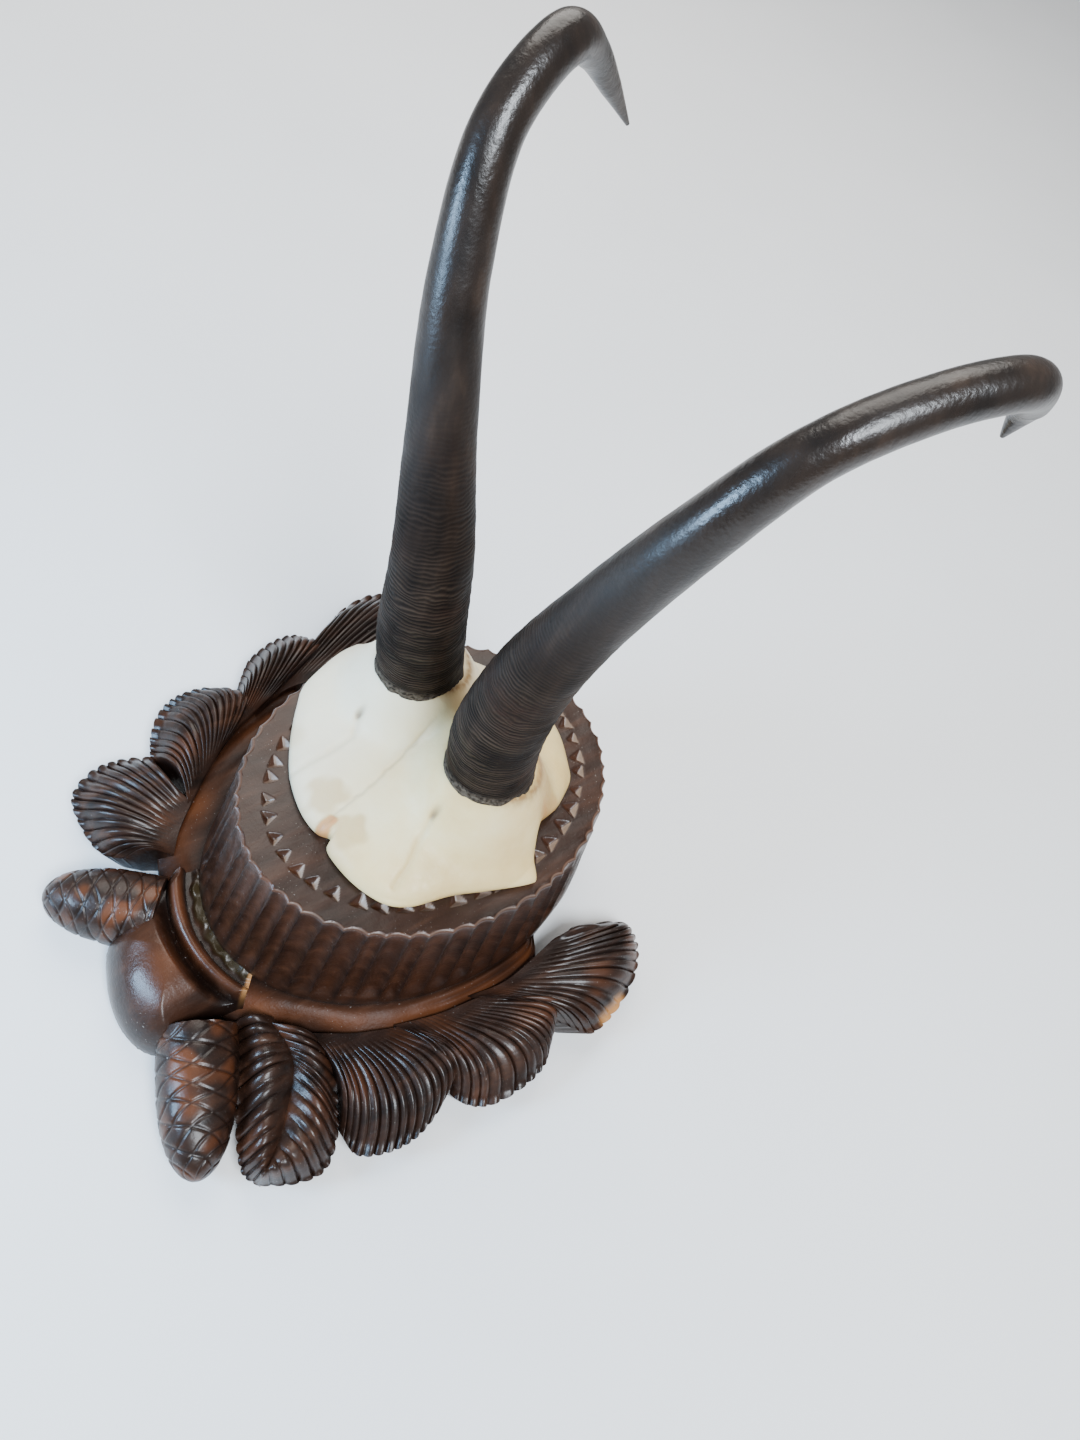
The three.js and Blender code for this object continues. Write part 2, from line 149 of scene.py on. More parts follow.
GROWTH_JITTER = 5.0
HORN_UPRIGHT_SHARE = 0.05
HORN_ROUGHNESS = 0.1
RINGED_START = 0.08
RINGED_END = 0.4

# Scroll under the drum
SCROLL_INNER = [(-21, -66), (-12, -70), (-2, -71.5), (8, -70.5), (17, -66)]
SCROLL_OUTER = [
    (-23.5, -76), (-19, -84.5), (-16, -93.5), (-12.5, -100), (-3, -104.5), (6, -106.5), (14, -106.5),
    (22, -104), (27, -98), (25.5, -90), (25, -81), (26.5, -74.5),
]
SCROLL_EDGE = 5.0
SCROLL_BULGE = 19.0
SCROLL_ROUND = 19.0
SCROLL_SHELF = 14.0
RIM_DISTANCE = 7.4
RIM_HALF = 2.9
RIM_RISE = 6.2
RIM_END = 4.0
BULGE_FROM = 10.2
BULGE_FULL = 16.0
OUTER_GROOVE = (11.2, 1.5)
INNER_GROOVE = (4.2, 0.8)
SCROLL_UNDERCUT = 0.93
GLUE_REACH = 2.3
GLUE_THICKNESS = 1.0
# Warm middle of the bulge, as x, y, half width and half height
SCROLL_GLOW = (4.0, -92.0, 13.0, 8.0)

# Pine cones
LEFT_CONE_AXIS = [(-14.6, -83.1), (-37, -110)]
RIGHT_CONE_AXIS = [(25, -88), (63.5, -106.5)]
CONE_RADIUS = 12.2
CONE_LIFT = 9.5
CONE_ROWS = 150
CONE_SIDES = 168
CONE_BANDS = 7
CONE_RIGHT_TURNS = 2.0
CONE_LEFT_TURNS = 3.5
CONE_RELIEF = 0.36
CONE_ROUGHNESS = 0.25
# Where the round of a cone starts, how far it goes and how blunt it is
CONE_START = 0.14
CONE_SPAN = 1.14
CONE_BLUNTNESS = 2.6

# Leaf sprays
STEM_RIDGE = 13.6
STEM_FLANK = 9.5
STEM_ROWS = 160
STEM_COLUMNS = 30
STEM_INSIDE = 2.0
STEM_LINES = 22.0
STEM_LINE_DEPTH = 0.4
STEM_TAPER_FROM = 0.84
LEAF_ROOT = 12.8
LEAF_CREST = 18.0
LEAF_EDGE = 9.0
LEAF_UNDERCUT = 0.82
LEAF_ROWS = 34
RIB_COLUMNS = 10
RIB_HEIGHT = 1.5
RIB_REACH = 1.2
BOW_FULL_REACH = 24.0
LEAF_ROUGHNESS = 0.35
RIGHT_STEM_OUTER = [
    (23, -82), (38, -64), (53, -45), (58, -29), (61, -14), (61.5, 2), (59, 18), (54, 32),
]
# Leaves run from a line on the stem to their outer edge; bow bends the ribs sideways
RIGHT_LEAVES = [
    dict(root=[(33, -71), (41, -69.5), (47.5, -70), (56, -75.5), (65, -84), (71, -91)],
         bow=(1, 1), ribs=15,
         edge=[(46, -56), (56, -57), (66.5, -62.5), (74, -66.5), (80.5, -74.5), (79, -83.5),
               (74, -92.5)]),
    dict(root=[(73, -90), (67, -81.5), (57.5, -73), (49, -66.5), (41.5, -66), (33, -67.5)],
         bow=(-1, -1), ribs=13,
         edge=[(74, -92.5), (69, -95), (62, -93.5), (54, -90), (44, -85), (34, -81), (27, -78)]),
    dict(root=[(43, -60), (50, -48), (56, -33)], bow=(4, 8), ribs=17,
         edge=[(73.5, -65.5), (81.5, -64.5), (86.5, -54), (86.5, -44), (81.5, -33), (75, -29.5)]),
    dict(root=[(54, -36), (58, -22), (60, -8)], bow=(4, 9), ribs=17,
         edge=[(75.5, -32), (85, -29), (90.5, -22.5), (92, -9), (90, 1.5), (85, 7), (75.5, 13.5)]),
    dict(root=[(58, -10), (60, 4), (56, 28)], bow=(4, 8), ribs=19,
         edge=[(76, 10.5), (84, 16.5), (89.5, 21.5), (88, 34), (80.5, 49.5), (72, 56.5), (64, 57),
               (55, 39)]),
]
LEFT_STEM_OUTER = [
    (-24, -78), (-33, -75), (-43, -66), (-60, -47), (-67, -35), (-72, -21), (-75, -6), (-74, 12),
]
LEFT_LEAVES = [
    dict(root=[(-30, -71), (-37, -66), (-45, -58)], bow=(-1, -2), ribs=16,
         edge=[(-36, -83), (-42, -90), (-55, -92), (-65.5, -90), (-71.5, -81), (-72, -72), (-68, -61)]),
    dict(root=[(-43, -60), (-52, -50), (-60, -40)], bow=(-3, 8), ribs=15,
         edge=[(-69, -62), (-76.5, -58.5), (-85, -51), (-88, -42), (-86.5, -32), (-77, -26)]),
    dict(root=[(-58, -43), (-65, -32), (-70, -20)], bow=(-3, 9), ribs=15,
         edge=[(-77.5, -27), (-85.5, -20.5), (-92.5, -13), (-96.5, -1), (-95.5, 8), (-86.5, 14.5)]),
    dict(root=[(-68, -23), (-73, -8), (-71, 12)], bow=(-3, 8), ribs=18,
         edge=[(-86, 14.5), (-92.5, 19.5), (-99, 28), (-102, 43), (-98, 54), (-90, 58), (-78, 50),
               (-70, 30)]),
]
BROKEN_EDGE = (86.5, 33.0)
BROKEN_REACH = 9.0

# Camera, as fitted to the photograph
CAMERA_PLACE = (104.4, -129.8, 342.9)
CAMERA_RIGHT = (0.5444, 0.7898, 0.2825)
CAMERA_DOWN = (0.7808, -0.3539, -0.5149)
CAMERA_AHEAD = (-0.3067, 0.5009, -0.8093)
CAMERA_LENS = 25.8
CAMERA_SENSOR = 36.0

dice = np.random.default_rng(7)


# Helpers for curves, noise and closed meshes

def curve(points, shares):
    """Smooth curve through the points, at shares of the way from the first to the last"""
    knots = np.array(points, float)
    knots = np.vstack([2 * knots[0] - knots[1], knots, 2 * knots[-1] - knots[-2]])
    steps = np.sqrt(np.linalg.norm(np.diff(knots, axis=0), axis=1))
    where = np.clip(np.asarray(shares, float), 0, 1) * (len(points) - 1)
    index = np.minimum(where.astype(int), len(points) - 2)
    f = (where - index)[..., None]
    a, b, c, d = (knots[index + k] for k in range(4))
    before, here, after = (steps[index + k][..., None] for k in range(3))
    leave = ((b - a) / before - (c - a) / (before + here) + (c - b) / here) * here
    arrive = ((c - b) / here - (d - b) / (here + after) + (d - c) / after) * here
    cubic = 2 * b - 2 * c + leave + arrive
    square = 3 * c - 3 * b - 2 * leave - arrive
    return cubic * f**3 + square * f**2 + leave * f + b


def smoothstep(low, high, value):
    """Smooth rise from 0 at low to 1 at high"""
    share = np.clip((value - low) / (high - low), 0, 1)
    return share * share * (3 - 2 * share)


def wobble(points, size, seed):
    """Smooth noise from about -1 to 1 at each point, with features of about that size"""
    shift = Vector((seed * 17.3, seed * 5.1, seed * 9.7))
    flat = np.asarray(points, float).reshape(-1, 3)
    values = [noise.noise(Vector(p) / size + shift) for p in flat]
    return np.array(values).reshape(np.shape(points)[:-1])


def line_distance(x, y, line):
    """Distance in plan from each point to a broken line"""
    nearest = np.full(np.shape(x), np.inf)
    for (x0, y0), (x1, y1) in zip(line, line[1:]):
        length = (x1 - x0) ** 2 + (y1 - y0) ** 2
        along = np.clip(((x - x0) * (x1 - x0) + (y - y0) * (y1 - y0)) / length, 0, 1)
        nearest = np.minimum(nearest, np.hypot(x - x0 - along * (x1 - x0), y - y0 - along * (y1 - y0)))
    return nearest


def ring_shell(rings, values):
    """Closed skin over rings that run counter-clockwise about the way they advance"""
    rows, count = rings.shape[:2]
    index = np.arange(rows * count).reshape(rows, count)
    after = np.roll(index, -1, axis=1)
    quads = np.stack([index[:-1], after[:-1], after[1:], index[1:]], axis=-1).reshape(-1, 4)
    points = np.vstack([rings.reshape(-1, 3), rings[0].mean(axis=0), rings[-1].mean(axis=0)])
    middle = rows * count
    caps = [(middle, b, a) for a, b in zip(index[0], after[0])]
    caps += [(middle + 1, a, b) for a, b in zip(index[-1], after[-1])]
    kept = {name: np.append(v.ravel(), [v[0].mean(), v[-1].mean()]) for name, v in values.items()}
    return points, quads.tolist() + caps, kept


def patch_shell(top, foot, values):
    """Closed block under a grid of top points, standing on the grid of foot points"""
    rows, count = top.shape[:2]
    index = np.arange(rows * count).reshape(rows, count)
    under = index + rows * count
    corners = [index[:-1, :-1], index[1:, :-1], index[1:, 1:], index[:-1, 1:]]
    quads = np.stack(corners, axis=-1).reshape(-1, 4)
    border = np.concatenate([index[:, 0], index[-1, 1:], index[-2::-1, -1], index[0, -2:0:-1]])
    ahead = np.roll(border, -1)
    sides = np.stack([border + rows * count, ahead + rows * count, ahead, border], axis=-1)
    bottom = under.ravel()[quads[:, ::-1]]
    faces = np.vstack([quads, sides, bottom])
    along = top[-1, count // 2] - top[0, count // 2]
    outward = top[rows // 2, -1] - top[rows // 2, 0]
    if np.cross(along, outward)[2] < 0:
        faces = faces[:, ::-1]
    points = np.vstack([top.reshape(-1, 3), foot.reshape(-1, 3)])
    kept = {name: np.tile(v.ravel(), 2) for name, v in values.items()}
    return points, faces.tolist(), kept


def make_piece(name, shells, material, node):
    """One mesh object from closed shells, standing for a CAD node"""
    points = []
    faces = []
    names = sorted({key for shell in shells for key in shell[2]})
    values = {key: [] for key in names}
    for shell_points, shell_faces, shell_values in shells:
        first = sum(len(p) for p in points)
        points.append(shell_points)
        faces += [[corner + first for corner in face] for face in shell_faces]
        for key in names:
            values[key].append(shell_values.get(key, np.zeros(len(shell_points))))
    mesh = bpy.data.meshes.new(name)
    mesh.from_pydata((np.vstack(points) * MILLIMETRE).tolist(), [], faces)
    for key in names:
        attribute = mesh.attributes.new(key, "FLOAT", "POINT")
        attribute.data.foreach_set("value", np.concatenate(values[key]).astype(np.float32))
    mesh.shade_smooth()
    mesh.set_sharp_from_angle(angle=math.radians(60))
    mesh.materials.append(material)
    piece = bpy.data.objects.new(name, mesh)
    bpy.context.scene.collection.objects.link(piece)
    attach(piece, "root")
    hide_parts(node)
    return piece


# Drum with gouged flutes and a ring of chip-carved triangles

def chip_depth(x, y):
    """Depth of the three-sided pits at each point of the face, and the painted highlight on their walls
    facing the light
    """
    depth = np.zeros(np.shape(x))
    lit = np.zeros(np.shape(x))
    for index in range(CHIPS):
        angle = (index + CHIP_PLACE_JITTER * dice.normal()) / CHIPS * 2 * math.pi
        size = CHIP_SIZE * dice.uniform(*CHIP_SIZE_RANGE)
        across = x - (FACE_X - CHIP_INSET) * math.cos(angle)
        upward = y - (FACE_Y - CHIP_INSET) * math.sin(angle)
        turn = math.atan2(math.sin(angle) * FACE_X, math.cos(angle) * FACE_Y)
        turn += CHIP_TURN_JITTER * dice.normal()
        out = across * math.cos(turn) + upward * math.sin(turn)
        side = upward * math.cos(turn) - across * math.sin(turn)
        turns = [k * THIRD_TURN for k in range(3)]
        walls = np.stack([out * math.cos(a) + side * math.sin(a) for a in turns])
        others = np.stack([np.maximum(walls[k - 2], walls[k - 1]) for k in range(3)])
        slope = np.log(np.exp(CHIP_SHARPNESS * np.clip(walls, -9, 9)).sum(axis=0)) / CHIP_SHARPNESS
        pit = CHIP_DEPTH * np.clip(1 - slope / size, 0, 1)
        for k in range(3):
            # Painted highlight on the pit wall that faces CHIP_LIT_BEARING
            facing = max(0.0, math.cos(turn + turns[k] - CHIP_LIT_BEARING))
            facet = smoothstep(0, 0.3, pit) * smoothstep(-0.2, 0.3, walls[k] - others[k])
            lit = np.maximum(lit, facing * facet)
        depth = np.maximum(depth, pit)
    return depth, lit


def drum_shell():
    count = FLUTES * FLUTE_COLUMNS
    angle = np.linspace(0, 2 * math.pi, count, endpoint=False)
    cuts = np.arange(FLUTES + 1) + np.append(dice.uniform(-FLUTE_JITTER, FLUTE_JITTER, FLUTES), 0)
    cuts[-1] = cuts[0] + FLUTES
    spot = (angle / (2 * math.pi) * FLUTES - cuts[0]) % FLUTES + cuts[0]
    place = np.interp(spot, cuts, np.arange(FLUTES + 1))
    flute = np.minimum(place.astype(int), FLUTES - 1)
    within = place - flute
    depth = dice.uniform(*FLUTE_DEPTH_RANGE, FLUTES)[flute] * FLUTE_DEPTH
    scallop = 1 - (2 * within - 1) ** 2
    ends = dice.uniform(*FLUTE_FOOT_RANGE, FLUTES)[flute]
    rings = []
    hollow = []
    warm = []

    def add_ring(blend, inset, z, fade):
        width = FOOT_X + (FACE_X - FOOT_X) * blend - inset
        height = FOOT_Y + (FACE_Y - FOOT_Y) * blend - inset
        cut = depth * scallop * fade
        x = (width - cut) * np.cos(angle)
        y = (height - cut) * np.sin(angle)
        rings.append(np.stack([x, y, np.full(count, z)], axis=-1))
        hollow.append(np.zeros(count))
        warm.append(np.zeros(count))

    add_ring(0, 0, 0, 0)
    add_ring(0, 0, FOOT_HEIGHT - 1, 0)
    for row in range(WALL_ROWS + 1):
        blend = row / WALL_ROWS
        fade = smoothstep(ends, ends + FLUTE_RUN_OUT, blend)
        fade = fade * (1 - FLUTE_FADE * smoothstep(0.75, 1, blend))
        z = FOOT_HEIGHT + (DRUM_HEIGHT - DRUM_EDGE_ROUND - FOOT_HEIGHT) * blend
        add_ring(blend, 0, z, fade)
        # Painted shade between the flutes and along the foot of the wall
        hollow[-1] = 0.5 * (1 - scallop) * fade + 0.45 * (1 - smoothstep(0, 0.2, blend))
        warm[-1] = 0.3 * scallop
    for step in (0.35, 0.7, 1.0):
        inset = DRUM_EDGE_ROUND * (1 - math.cos(step * math.pi / 2))
        z = DRUM_HEIGHT - DRUM_EDGE_ROUND * (1 - math.sin(step * math.pi / 2))
        add_ring(1, inset, z, 1 - FLUTE_FADE)
        warm[-1] = np.full(count, 0.45)
    insets = np.concatenate([np.linspace(*band) for band in FACE_BANDS])
    for inset in insets:
        add_ring(1, inset, DRUM_HEIGHT, (1 - FLUTE_FADE) * max(0.0, 1 - inset / FACE_PLAIN_FROM))
        rings[-1][:, 2] += FACE_ROUGHNESS * wobble(rings[-1], 5, 3)
        # The face is darkened a little all over, and more towards its middle as painted shade
        hollow[-1] = np.full(count, 0.1 + 0.25 * smoothstep(12, 18, inset))
        warm[-1] = np.full(count, 0.1)
    rings = np.array(rings)
    hollow = np.array(hollow)
    warm = np.array(warm)
    face = len(rings) - len(insets)
    pits, lit = chip_depth(rings[face:, :, 0], rings[face:, :, 1])
    rings[face:, :, 2] -= pits
    # Painted shade in the chip pits
    hollow[face:] += 0.35 * smoothstep(0.2, CHIP_DEPTH, pits)
    warm[face:] += 0.3 * smoothstep(0, 0.5, pits)
    # Painted highlight on the chip walls facing the light, and a lighter line along the top edge, partly
    # wear and partly painted highlight
    worn = np.zeros_like(warm)
    worn[face:] = lit
    worn[face - 2] = 0.25 + 0.25 * wobble(rings[face - 2], 12, 4)
    wall = slice(2, face)
    rings[wall, :, 0] += WALL_ROUGHNESS * wobble(rings[wall], 9, 1)
    rings[wall, :, 1] += WALL_ROUGHNESS * wobble(rings[wall], 9, 2)
    return ring_shell(rings, {"hollow": hollow, "warm": warm, "worn": worn})


# Skull plate

def skull_shell():
    dense = np.array(SKULL_OUTLINE + SKULL_OUTLINE[:1], float)
    fine = curve(dense, np.linspace(0, 1, 2400))
    offsets = fine - np.array(SKULL_MIDDLE)
    bearing = np.unwrap(np.arctan2(offsets[:, 1], offsets[:, 0]))
    reach_at = np.hypot(offsets[:, 0], offsets[:, 1])
    angle = np.linspace(0, 2 * math.pi, SKULL_SPOKES, endpoint=False)
    order = np.argsort(bearing)
    reach = np.interp((angle - bearing[0]) % (2 * math.pi) + bearing[0], bearing[order], reach_at[order])
    underside = DRUM_HEIGHT + SKULL_GAP
    rim_shares = np.linspace(1, 0.9, SKULL_RIM_LOOPS)
    shares = np.concatenate([[0.93, 0.99], rim_shares, np.linspace(0.89, 0.01, SKULL_LOOPS)])
    levels = np.concatenate([[0.0, 0.4], np.full(SKULL_RIM_LOOPS + SKULL_LOOPS, np.nan)])
    share = shares[:, None] * np.ones(SKULL_SPOKES)
    x = SKULL_MIDDLE[0] + share * reach * np.cos(angle)
    y = SKULL_MIDDLE[1] + share * reach * np.sin(angle)
    spread = np.stack([x, y, np.zeros_like(x)], axis=-1)
    window = np.hanning(SKULL_SMOOTHING) / np.hanning(SKULL_SMOOTHING).sum()
    broad = np.convolve(np.tile(reach, 3), window, "same")[SKULL_SPOKES:2 * SKULL_SPOKES]
    dome = np.minimum(share * reach / broad, 1)
    edge = np.clip((1 - share) * reach / SKULL_EDGE_ROUND, 0, 1)
    height = SKULL_RIM * (0.45 + 0.55 * np.sqrt(1 - (1 - edge) ** 2))
    height = height + SKULL_CROWN * (1 - dome**2) ** 0.8
    height += 0.7 * wobble(spread, 16, 11) * edge + 0.25 * wobble(spread, 5, 12) * edge
    brow = np.hypot(x - BROW_MIDDLE[0], y - BROW_MIDDLE[1])
    height = height + BROW_RISE * np.exp(-((brow / BROW_SPREAD) ** 2))
    stain = np.zeros_like(x)
    for horn_x, horn_y, _ in (LEFT_HORN_PATH[0], RIGHT_HORN_PATH[0]):
        distance = np.hypot(x - horn_x, y - horn_y)
        height = height + PEDICLE_SWELL * np.exp(-((distance / PEDICLE_SPREAD) ** 2))
        ahead = (x - horn_x) * FRONT[0] + (y - horn_y) * FRONT[1]
        front = np.clip(ahead / PEDICLE_RADIUS, 0, 1)
        post = HORN_BASE + PEDICLE_COLLAR + PEDICLE_TILT * front - underside
        foot = smoothstep(PEDICLE_RADIUS - 1, PEDICLE_RADIUS + PEDICLE_FOOT, distance)
        blend = (1 - foot) ** PEDICLE_STEEPNESS
        height = height + (post - height) * blend
        height = np.where(distance < PEDICLE_RADIUS - 2, HORN_BASE - SKULL_GAP - underside, height)
        stain = np.maximum(stain, np.exp(-(((distance - STAIN_DISTANCE) / STAIN_HALF) ** 2)))
    hollow = np.zeros_like(x)
    suture = line_distance(x + 0.5 * wobble(spread, 2.5, 13), y, SUTURE)
    # Dark line along the suture: a joint line, with painted shade in its groove
    hollow += 0.4 * np.exp(-((suture / 0.5) ** 2)) * smoothstep(4, -8, y)
    height -= SUTURE_DEPTH * np.exp(-((suture / SUTURE_HALF) ** 2)) * smoothstep(4, -8, y)
    for line in FORAMINA:
        groove = line_distance(x, y, line)
        height -= GROOVE_DEPTH * np.exp(-((groove / GROOVE_HALF) ** 2))
        # Painted shade in the groove
        hollow += 0.2 * np.exp(-((groove / 0.9) ** 2))
        pit = np.hypot(x - line[0][0], y - line[0][1])
        height -= FORAMEN_DEPTH * np.exp(-((pit / FORAMEN_HALF) ** 2))
        # Painted shade in the foramen pit
        hollow += 0.9 * np.exp(-((pit / 1.1) ** 2))
    z = np.where(np.isnan(levels)[:, None], underside + height, underside + levels[:, None])
    rings = np.stack([x, y, z], axis=-1)
    rim = 1 - smoothstep(0, 5, (1 - share) * reach)
    # Warmer towards the right as painted warm light, and warmer along the rim
    warm = 0.3 * smoothstep(-5, 40, x + 0.6 * y) + 0.25 * rim
    for patch_x, patch_y, size, strength in TAN_PATCHES:
        ragged = np.hypot(x - patch_x, y - patch_y) + 2.5 * wobble(spread, 4, 16)
        warm = warm + strength * (1 - smoothstep(0.6 * size, 1.1 * size, ragged))
    warm = warm + 0.35 * smoothstep(0.2, 0.6, wobble(spread, 13, 15))
    warm = warm + 0.8 * np.exp(-((brow / 11) ** 2))
    beside_suture = smoothstep(-28, -8, y) * smoothstep(2, -8, y)
    warm = warm + 0.5 * np.exp(-((suture / 3) ** 2)) * beside_suture
    # Painted cool light on the left side
    cool = smoothstep(12, -35, x + 0.3 * y)
    values = {"hollow": np.clip(hollow, 0, 1), "warm": warm, "stain": stain, "cool": cool}
    return ring_shell(rings, values)


# Horns

def horn_shell(path, radii, seed):
    share = np.concatenate([
        np.linspace(0, RINGED_END, RINGED_ROWS, endpoint=False),
        np.linspace(RINGED_END, 1, HORN_ROWS - RINGED_ROWS),
    ])
    middle = curve(path, share)
    ahead = np.gradient(middle, share, axis=0)
    ahead /= np.linalg.norm(ahead, axis=1)[:, None]
    leaning = smoothstep(0, HORN_UPRIGHT_SHARE, share)[:, None]
    ahead = ahead * leaning + np.array([0, 0, 1]) * (1 - leaning)
    ahead /= np.linalg.norm(ahead, axis=1)[:, None]
    across = np.array([1.0, 0, 0]) - ahead * ahead[:, :1]
    across /= np.linalg.norm(across, axis=1)[:, None]
    upright = np.cross(ahead, across)
    length = np.concatenate([[0], np.cumsum(np.linalg.norm(np.diff(middle, axis=0), axis=1))])
    radius = np.interp(share, np.linspace(0, 1, len(radii)), radii)
    around = np.linspace(0, 2 * math.pi, HORN_SIDES, endpoint=False)
    circle = across[:, None] * np.cos(around)[None, :, None]
    circle = circle + upright[:, None] * np.sin(around)[None, :, None]
    smooth = middle[:, None] + circle * radius[:, None, None]
    wavy = length[:, None] + 1.6 * wobble(smooth, 13, seed) + 1.1 * wobble(smooth, 3.5, seed + 1)
    fine = 0.5 + 0.5 * np.cos(2 * math.pi * wavy / WRINKLE_PITCH)
    drifting = wavy + GROWTH_JITTER * wobble(middle, 25, seed + 7)[:, None]
    coarse = 0.5 + 0.5 * np.cos(2 * math.pi * drifting / GROWTH_PITCH)
    ringed = (1 - smoothstep(RINGED_START, RINGED_END, share))[:, None]
    patchy = 0.65 + 0.5 * wobble(smooth, 7, seed + 2)
    relief = ringed * (WRINKLE_DEPTH * (fine - 1) * patchy + GROWTH_DEPTH * (coarse**2 - 0.5))
    relief = relief + HORN_ROUGHNESS * wobble(smooth, 4, seed + 3) * (radius / radii[0])[:, None]
    front = np.clip(circle[..., 0] * FRONT[0] + circle[..., 1] * FRONT[1], 0, 1)
    bone_line = HORN_BASE + PEDICLE_COLLAR + PEDICLE_TILT * front
    fray = 1 - smoothstep(-1, 2.2, smooth[..., 2] - bone_line)
    relief = relief + fray * (0.5 + 0.7 * wobble(smooth, 3, seed + 4))
    rings = middle[:, None] + circle * (radius[:, None] + relief)[..., None]
    rings[..., 2] += fray * 0.9 * wobble(smooth, 4, seed + 5)
    # Painted shade in the wrinkle and growth grooves
    hollow = ringed * np.clip(0.6 * (1 - fine) * patchy + 0.3 * (1 - coarse), 0, 1)
    warm = np.clip(ringed * smoothstep(-0.05, 0.5, wobble(smooth, 17, seed + 6)), 0, 1)
    polish = smoothstep(0.25, 0.55, share)[:, None] * np.ones(HORN_SIDES)
    ridge = np.clip(ringed * fine**2 * (0.55 + 0.9 * wobble(smooth, 9, seed + 8)), 0, 1)
    values = {"hollow": hollow, "warm": warm, "frayed": fray, "polish": polish, "ridge": ridge}
    return ring_shell(rings, values)


# Scroll with its rolled rim and the glue ledge

def scroll_shell():
    s = np.linspace(0, 1, 170)
    t = np.linspace(0, 1, 100)
    inner = curve(SCROLL_INNER, s)[:, None]
    outer = curve(SCROLL_OUTER, s)[:, None]
    plan = inner + (outer - inner) * t[None, :, None]
    x, y = plan[..., 0], plan[..., 1]
    spread = np.concatenate([plan, np.zeros(x.shape + (1,))], axis=-1)
    from_drum = (np.hypot(x / FOOT_X, y / FOOT_Y) - 1) * FOOT_Y
    border = line_distance(x, y, [tuple(p) for p in curve(SCROLL_OUTER, np.linspace(0, 1, 40))])
    rounding = np.sqrt(1 - (1 - np.clip(border / SCROLL_ROUND, 0, 1)) ** 2)
    bulge = SCROLL_EDGE + SCROLL_BULGE * rounding + 0.4 * wobble(spread, 9, 21)
    z = SCROLL_SHELF + (bulge - SCROLL_SHELF) * smoothstep(BULGE_FROM, BULGE_FULL, from_drum)
    z = np.minimum(z, bulge)
    across_rim = np.clip(1 - ((from_drum - RIM_DISTANCE) / RIM_HALF) ** 2, 0, 1)
    ends = np.clip(border / RIM_END, 0.35, 1)
    z = z + RIM_RISE * np.sqrt(across_rim) * ends
    ragged = from_drum + 1.2 * wobble(spread, 4, 24)
    # Glue ledge at the drum; its dark colour is partly glue and partly painted shade of the gap
    glue = 1 - smoothstep(GLUE_REACH - 0.8, GLUE_REACH + 0.8, ragged)
    z = z + glue * (GLUE_THICKNESS + 0.9 * wobble(spread, 3, 23))
    top = np.concatenate([plan, z[..., None]], axis=-1)
    foot = inner + (outer - inner) * np.minimum(t, SCROLL_UNDERCUT)[None, :, None]
    foot = np.concatenate([foot, np.zeros(x.shape + (1,))], axis=-1)
    # Painted shade along the outer border and in the two grooves
    hollow = 0.75 * (1 - smoothstep(0, 7, border))
    for distance, half in (OUTER_GROOVE, INNER_GROOVE):
        hollow = hollow + np.exp(-(((from_drum - distance) / half) ** 2))
    glow_x, glow_y, half_width, half_height = SCROLL_GLOW
    glow = np.exp(-(((x - glow_x) / half_width) ** 2) - (((y - glow_y) / half_height) ** 2))
    warm = 0.95 * glow + 0.7 * across_rim
    corner = smoothstep(0.965, 0.985, s)[:, None] * smoothstep(0.95, 0.5, t)[None]
    values = {
        "hollow": np.clip(hollow, 0, 1),
        "warm": np.clip(warm, 0, 1),
        "glue": glue,
        "broken": corner,
    }
    return patch_shell(top, foot, values)


# Pine cones

def cone_shell(axis, seed):
    (x0, y0), (x1, y1) = axis
    length = math.hypot(x1 - x0, y1 - y0)
    ahead = np.array([(x1 - x0) / length, (y1 - y0) / length, 0])
    across = np.array([-ahead[1], ahead[0], 0])
    upright = np.array([0, 0, 1.0])
    share = np.linspace(0, 1, CONE_ROWS)
    around = np.linspace(0, 2 * math.pi, CONE_SIDES, endpoint=False)
    bend = np.abs(CONE_SPAN * share - CONE_START) ** CONE_BLUNTNESS
    girth = CONE_RADIUS * (1 - bend / 1.01) ** 0.5
    middle = np.array([x0, y0, CONE_LIFT]) + share[:, None] * length * ahead
    circle = across * np.cos(around)[:, None] + upright * np.sin(around)[:, None]
    turns = around[None] / math.pi
    uneven = 0.12 * np.sin(9 * share[:, None] + 3 * around[None] + seed)
    rise = (CONE_BANDS * share)[:, None] + uneven
    right_lines = np.abs(((rise + CONE_RIGHT_TURNS * turns) % 1) - 0.5) * 2
    left_lines = np.abs(((rise - CONE_LEFT_TURNS * turns) % 1) - 0.5) * 2
    groove = np.maximum(right_lines, left_lines)
    scale = 1 - smoothstep(0.72, 1.0, groove)
    relief = CONE_RELIEF * (scale - 1)
    radius = girth[:, None] + relief * np.minimum(1, girth[:, None] / 5)
    rings = middle[:, None] + circle[None] * radius[..., None]
    rings = rings + CONE_ROUGHNESS * wobble(rings, 5, seed)[..., None] * circle[None]
    rings[..., 2] = np.maximum(rings[..., 2], 0)
    patches = smoothstep(-0.05, 0.45, wobble(rings, 8, seed + 1))
    warm = np.clip(1.3 * patches * np.sin(around)[None], 0, 1)
    # Painted shade between the scales and on the underside
    hollow = 0.8 * smoothstep(0.8, 1.0, groove) + 0.6 * smoothstep(0.3, -0.4, np.sin(around))[None]
    return ring_shell(rings, {"hollow": np.clip(hollow, 0, 1), "warm": warm})


# Stem and ribbed leaves of a spray

